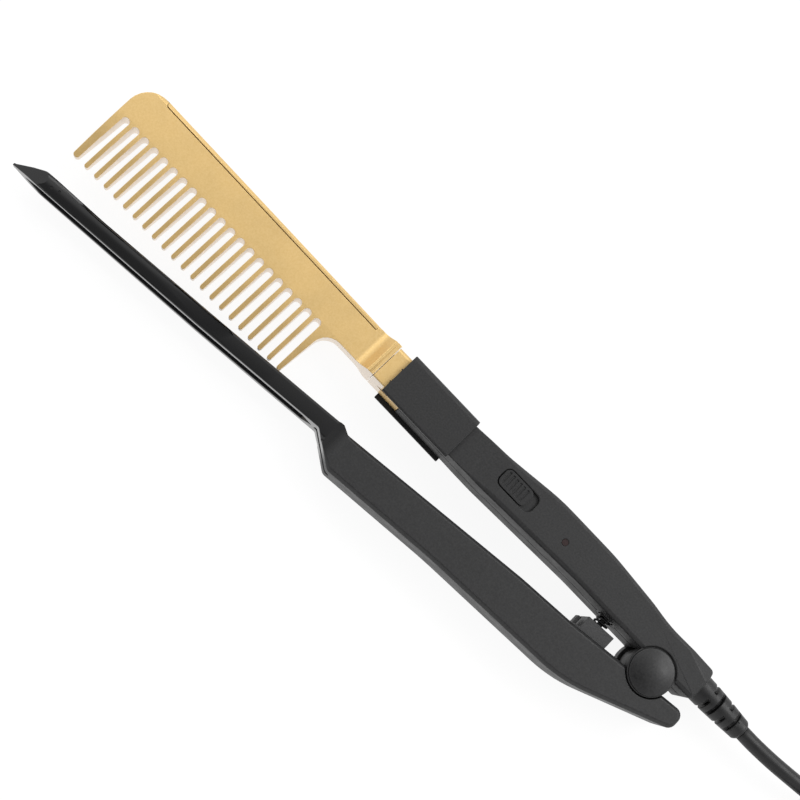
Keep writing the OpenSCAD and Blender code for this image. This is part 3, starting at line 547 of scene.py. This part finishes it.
def gold_finish(name, color, pale, painted_pale_reflection, rough):
    """Satin coating on metal: an even bead-blasted grain, and a painted pale reflection in place
    of the gilt on the cut flanks that the face attribute marks."""
    m, nt, b = shader(name, color, rough, metallic=1.0, coat=0.15, coat_rough=0.2)
    at = place(nt)
    face = between(nt, noise(nt, at, 1600, 3), color, pale)
    # Painted reflection: where the attribute marks a cut side, the base colour turns to the pale
    # colour
    side = nt.nodes.new("ShaderNodeAttribute")
    side.attribute_name = "painted_pale_reflection"
    both = nt.nodes.new("ShaderNodeMix")
    both.data_type = "RGBA"
    both.inputs["B"].default_value = (*painted_pale_reflection, 1)
    nt.links.new(side.outputs["Fac"], both.inputs["Factor"])
    nt.links.new(face, both.inputs["A"])
    nt.links.new(both.outputs["Result"], b.inputs["Base Color"])
    nt.links.new(spread(nt, noise(nt, at, 120, 2), rough - 0.03, rough + 0.03),
                 b.inputs["Roughness"])
    bump(nt, b, noise(nt, at, 2200, 2), 0.006)
    return m


def metal(name, color, rough):
    """Plain metal with an uneven sheen and a fine grain."""
    m, nt, b = shader(name, color, rough, metallic=1.0)
    at = place(nt)
    nt.links.new(spread(nt, noise(nt, at, 600, 3), rough - 0.06, rough + 0.08),
                 b.inputs["Roughness"])
    bump(nt, b, noise(nt, at, 2500, 2), 0.003)
    return m


def rubber(name, dark, light, rough):
    """Extruded jacket: a dusty mottling, an uneven sheen and a faint grain."""
    m, nt, b = shader(name, dark, rough, specular=0.4)
    at = place(nt)
    nt.links.new(between(nt, noise(nt, at, 90, 3), dark, light), b.inputs["Base Color"])
    nt.links.new(spread(nt, noise(nt, at, 400, 3), rough - 0.06, rough + 0.08),
                 b.inputs["Roughness"])
    bump(nt, b, noise(nt, at, 1500, 3), 0.01)
    return m


handle_plastic = moulded("handle_plastic", (0.008, 0.008, 0.0085), (0.021, 0.021, 0.0215), 0.52)
collar_plastic = moulded("collar_plastic", (0.006, 0.006, 0.0065), (0.018, 0.018, 0.0185), 0.52)
arm_plastic = arm_moulding("arm_plastic", (0.007, 0.007, 0.0075), (0.019, 0.019, 0.0195), 0.5, 0.2)
dark_plastic = moulded("dark_plastic", (0.012, 0.012, 0.013), (0.024, 0.024, 0.025), 0.5)
button_plastic = moulded("button_plastic", (0.004, 0.004, 0.0045), (0.013, 0.013, 0.0135), 0.45)
cap_plastic = moulded("cap_plastic", (0.005, 0.005, 0.0055), (0.017, 0.017, 0.0175), 0.4, 0.8)
seat_plastic = moulded("seat_plastic", (0.03, 0.03, 0.031), (0.05, 0.05, 0.051), 0.5)
plug_plastic = moulded("plug_plastic", (0.012, 0.012, 0.013), (0.02, 0.02, 0.021), 0.42)
tie_plastic = moulded("tie_plastic", (0.02, 0.02, 0.022), (0.04, 0.04, 0.042), 0.7, 0.8, 0.08)
liner_rubber = moulded("liner_rubber", (0.09, 0.087, 0.085), (0.12, 0.117, 0.115), 0.55, 0.5)
spring_steel = metal("spring_steel", (0.05, 0.05, 0.052), 0.38)
cord_rubber = rubber("cord_rubber", (0.007, 0.007, 0.0075), (0.013, 0.013, 0.0135), 0.42)
# The third colour is the painted pale reflection on the cut sides
gold = gold_finish("gold_coating", (0.71, 0.49, 0.202), (0.765, 0.545, 0.247),
                   (0.9, 0.8, 0.69), 0.46)
steel = metal("steel", (0.6, 0.6, 0.62), 0.3)
ceramic = moulded("ceramic", (0.75, 0.74, 0.7), (0.85, 0.84, 0.8), 0.5)
film = moulded("film", (0.5, 0.25, 0.05), (0.6, 0.32, 0.08), 0.25)
board = moulded("board", (0.02, 0.12, 0.04), (0.03, 0.17, 0.06), 0.35)
wire = rubber("wire", (0.02, 0.02, 0.022), (0.03, 0.03, 0.032), 0.45)
sleeved_wire = moulded("sleeved_wire", (0.55, 0.5, 0.4), (0.7, 0.65, 0.55), 0.8, 0.6, 0.1)
led = moulded("led", (0.45, 0.02, 0.015), (0.5, 0.03, 0.02), 0.12)
lens = moulded("lens", (0.022, 0.01, 0.01), (0.03, 0.014, 0.014), 0.12)

# Each node's finish and the rounding of its edges in mm, or 0 for the CAD's own mesh
FINISH = {
    "handle_front_shell": (handle_plastic, 0.45), "handle_back_shell": (handle_plastic, 0.45),
    "collar": (collar_plastic, 0.3), "shank_sleeve": (gold, 0.12), "comb_head": (gold, 0.16),
    "spine_cap": (gold, 0.1), "arm_lever": (arm_plastic, 0.4), "arm_cover": (dark_plastic, 0.2),
    "spring_seat": (seat_plastic, 0.25), "pivot_cap_back": (cap_plastic, 0.2),
    "plug_body": (plug_plastic, 0.5), "plug_blades": (steel, 0.2), "hank_tie": (tie_plastic, 0.15),
    "heater_plate": (ceramic, 0), "heater_insulation": (film, 0), "thermal_fuse": (ceramic, 0),
    "circuit_board": (board, 0), "switch_body": (dark_plastic, 0),
    "switch_button": (button_plastic, 0.12), "indicator_led": (led, 0),
    "indicator_window": (lens, 0), "mains_leads": (wire, 0), "heater_leads": (sleeved_wire, 0),
    "handle_screws": (steel, 0), "hinge_pin": (steel, 0),
    "spring_cup": (dark_plastic, 0), "arm_screws": (steel, 0),
    "grip_liner": (liner_rubber, 0.15), "strain_relief": (cord_rubber, 0.25),
}
FINE_WELD = 0.02  # distance in mm below which points are merged
WELD = {"handle_front_shell": 0.14, "handle_back_shell": 0.14, "arm_lever": 0.14}


def finish_nodes(names):
    """Gives each node its finish, with rounded edges where they show; returns the soft copies."""
    pieces = []
    for node in names:
        material, width = FINISH[node]
        if width:
            piece = soft_copy(node, material, width, WELD.get(node, FINE_WELD))
            pieces.append(piece)
        else:
            nodes[node].data.materials.clear()
            nodes[node].data.materials.append(material)
    return pieces


# ---------------------------------------------------------------- studio

# In metres
LAMP_SIZE = 1.4


def area_light(name, at, power):
    """A square soft lamp that faces the object."""
    data = bpy.data.lights.new(name, "AREA")
    data.shape = "RECTANGLE"
    data.size = data.size_y = LAMP_SIZE
    data.energy = power
    lamp = bpy.data.objects.new(name, data)
    scene.collection.objects.link(lamp)
    lamp.location = at
    lamp.rotation_mode = "QUATERNION"
    lamp.rotation_quaternion = (-Vector(at)).to_track_quat("-Z", "Y")


def seen_directly(nt):
    """1 for rays from the camera, a mirror or a clear piece, and 0 for diffuse light."""
    path = nt.nodes.new("ShaderNodeLightPath")
    out = path.outputs["Is Camera Ray"]
    for name in ("Is Glossy Ray", "Is Transmission Ray"):
        both = nt.nodes.new("ShaderNodeMath")
        both.operation = "MAXIMUM"
        nt.links.new(out, both.inputs[0])
        nt.links.new(path.outputs[name], both.inputs[1])
        out = both.outputs[0]
    return out


FLOOR_REACH = 4  # metres
FLOOR_KEEPS = 0.15  # share of the floor's own light and shadow in what is seen of it
FLOOR_GLOW = 1.06  # level of the rest


def make_floor():
    """White paper that keeps a light shadow."""
    me = bpy.data.meshes.new("floor")
    corners = [(-1, -1), (1, -1), (1, 1), (-1, 1)]
    me.from_pydata([(x * FLOOR_REACH, y * FLOOR_REACH, 0) for x, y in corners], [],
                   [(0, 1, 2, 3)])
    floor = bpy.data.objects.new("floor", me)
    scene.collection.objects.link(floor)
    m, nt, b = shader("floor_paper", (0.93, 0.93, 0.93), 0.9, specular=0.1)
    glow = nt.nodes.new("ShaderNodeEmission")
    glow.inputs["Strength"].default_value = FLOOR_GLOW
    share = nt.nodes.new("ShaderNodeMath")
    share.operation = "MULTIPLY"
    share.inputs[1].default_value = 1 - FLOOR_KEEPS
    nt.links.new(seen_directly(nt), share.inputs[0])
    mix = nt.nodes.new("ShaderNodeMixShader")
    nt.links.new(share.outputs[0], mix.inputs[0])
    nt.links.new(b.outputs[0], mix.inputs[1])
    nt.links.new(glow.outputs[0], mix.inputs[2])
    nt.links.new(mix.outputs[0], nt.nodes["Material Output"].inputs["Surface"])
    me.materials.append(m)


ROOM_LEVEL = 0.66  # of the soft light that the room gives
DARK_SIDE = (0.0, 0.31, 0.951)  # overhead, on the clamp arm's side
DARK_LEVEL = 0.28
DARK_EDGE = (0.8, 0.91)  # cosines from DARK_SIDE between which the room falls to that level


def make_room():
    """A white room: full white to the camera, and in mirrors one soft-edged dark patch overhead,
    where the camera and its stand hang."""
    world = bpy.data.worlds.new("room")
    scene.world = world
    world.use_nodes = True
    nt = world.node_tree
    back = nt.nodes["Background"]
    tc = nt.nodes.new("ShaderNodeTexCoord")
    dot = nt.nodes.new("ShaderNodeVectorMath")
    dot.operation = "DOT_PRODUCT"
    dot.inputs[1].default_value = DARK_SIDE
    nt.links.new(tc.outputs["Generated"], dot.inputs[0])
    walls = spread(nt, dot.outputs["Value"], 1.0, DARK_LEVEL, *DARK_EDGE)
    path = nt.nodes.new("ShaderNodeLightPath")
    glossy = nt.nodes.new("ShaderNodeMix")
    glossy.inputs["A"].default_value = ROOM_LEVEL
    nt.links.new(path.outputs["Is Glossy Ray"], glossy.inputs["Factor"])
    nt.links.new(walls, glossy.inputs["B"])
    direct = nt.nodes.new("ShaderNodeMath")
    direct.operation = "MAXIMUM"
    nt.links.new(path.outputs["Is Camera Ray"], direct.inputs[0])
    nt.links.new(path.outputs["Is Transmission Ray"], direct.inputs[1])
    seen = nt.nodes.new("ShaderNodeMix")
    seen.inputs["B"].default_value = 1.0
    nt.links.new(direct.outputs[0], seen.inputs["Factor"])
    nt.links.new(glossy.outputs["Result"], seen.inputs["A"])
    nt.links.new(seen.outputs["Result"], back.inputs["Strength"])
    back.inputs["Color"].default_value = (1, 1, 1, 1)


set_camera()
cord_pieces = finish_nodes(["strain_relief", "hank_tie", "plug_body", "plug_blades"])
make_cord(cord_rubber)
finish_nodes([n for n in FINISH if n + "_soft" not in bpy.data.objects])
make_hinge_cap(cap_plastic)
make_spring(spring_steel)
make_floor()
make_room()
area_light("key", (-1.2, -1.5, 1.8), 24)
area_light("fill", (1.5, -1.5, 1.6), 17)
scene.view_settings.view_transform = "Standard"
